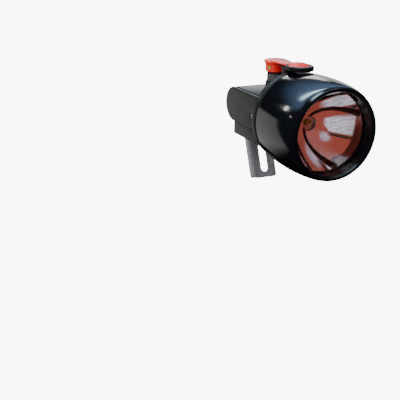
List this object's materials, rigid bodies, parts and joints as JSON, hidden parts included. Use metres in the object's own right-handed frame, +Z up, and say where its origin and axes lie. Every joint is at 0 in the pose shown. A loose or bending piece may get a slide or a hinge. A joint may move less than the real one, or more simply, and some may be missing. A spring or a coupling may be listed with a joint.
{
  "type": "miner's cap lamp",
  "caption": "Cordless miner's cap lamp: round reflector head with a deep screw-on bezel, crosswise battery case, turning lever switch and slotted steel helmet clip.",
  "frame": {"origin": "centre of the clip's rear face, above its slot, where a helmet bracket rests", "axes": "+Y back towards the helmet along the optical axis, +Z up, so the lamp shines along -Y; +X is the wearer's left. The clip leans 22 degrees to this frame, its lower end forward, as the front of a hard hat does."},
  "size_m": [0.066, 0.1104, 0.0928],
  "materials": {
    "bezel_gloss_black": "gloss",
    "case_charcoal": "satin",
    "boss_black": "satin",
    "column_grey": "satin",
    "switch_red": "semi-gloss",
    "rubber_black": "matt",
    "clear_lens": "clear",
    "mirror": "polished",
    "steel": "brushed",
    "brass": "satin",
    "aluminium": "machined",
    "board_green": "satin",
    "chip_black": "matt",
    "phosphor": "matt",
    "silicone": "clear gloss",
    "cell_blue": "film-wrapped",
    "foam_grey": "foam",
    "wire_red": "satin",
    "wire_black": "satin"
  },
  "bodies": {
    "lamp": {"reflector": "mirror", "head_housing": "case_charcoal", "bezel_oring": "rubber_black", "led_board": "aluminium", "led_package": "phosphor", "led_dome": "silicone", "heat_sink": "aluminium", "led_board_screw_upper": "steel", "led_board_screw_lower": "steel", "led_wire_positive": "wire_red", "led_wire_negative": "wire_black", "battery_case": "case_charcoal", "case_gasket": "rubber_black", "case_screw_1": "steel", "case_screw_2": "steel", "case_screw_3": "steel", "case_screw_4": "steel", "end_gasket_left": "rubber_black", "end_gasket_right": "rubber_black", "end_cap_left": "case_charcoal", "end_cap_right": "case_charcoal", "cap_screw_left": "steel", "cap_screw_right": "steel", "cell_front": "cell_blue", "cell_rear": "cell_blue", "contact_spring_front": "steel", "contact_spring_rear": "steel", "contact_plate_positive": "steel", "contact_plate_negative": "steel", "cell_pad": "foam_grey", "driver_board": "board_green", "driver_chip": "chip_black", "driver_inductor": "chip_black", "cell_wire_positive": "wire_red", "cell_wire_negative": "wire_black", "switch_wire_positive": "wire_red", "switch_wire_negative": "wire_black", "clip_block": "case_charcoal", "clip_plate": "steel", "clip_screw_left": "steel", "clip_screw_right": "steel", "block_screw_left": "steel", "block_screw_right": "steel", "switch_boss": "boss_black", "switch_column": "column_grey", "shaft_oring": "rubber_black", "knob_seal": "rubber_black", "wave_washer": "steel", "rotary_switch": "chip_black"},
    "lever": {"lever_arm": "boss_black", "lever_inlay": "switch_red", "selector_knob": "switch_red", "charge_contact_left": "brass", "charge_contact_right": "brass", "lever_shaft": "steel", "retaining_ring": "steel", "switch_wiper": "brass"},
    "lens_stack": {"front_lens": "clear_lens", "lens_gasket": "rubber_black"},
    "bezel": {"bezel_ring": "bezel_gloss_black"}
  },
  "joints": [
    {"name": "lever_turn", "type": "hinge", "parent": "lamp", "child": "lever", "pos_m": [0, -0.02182, 0.05], "axis": [0, 0, 1], "range_deg": [-40, 40]},
    {"name": "bezel_advance", "type": "slide", "parent": "lamp", "child": "lens_stack", "axis": [0, -1, 0], "range_m": [0, 0.008]},
    {"name": "bezel_turn", "type": "hinge", "parent": "lens_stack", "child": "bezel", "pos_m": [0, -0.09082, 0.025], "axis": [0, -1, 0], "range_deg": [0, 721]}
  ],
  "couplings": [
    {"joint": "bezel_turn", "follows": "bezel_advance", "rad_per_m": 1570.8}
  ]
}
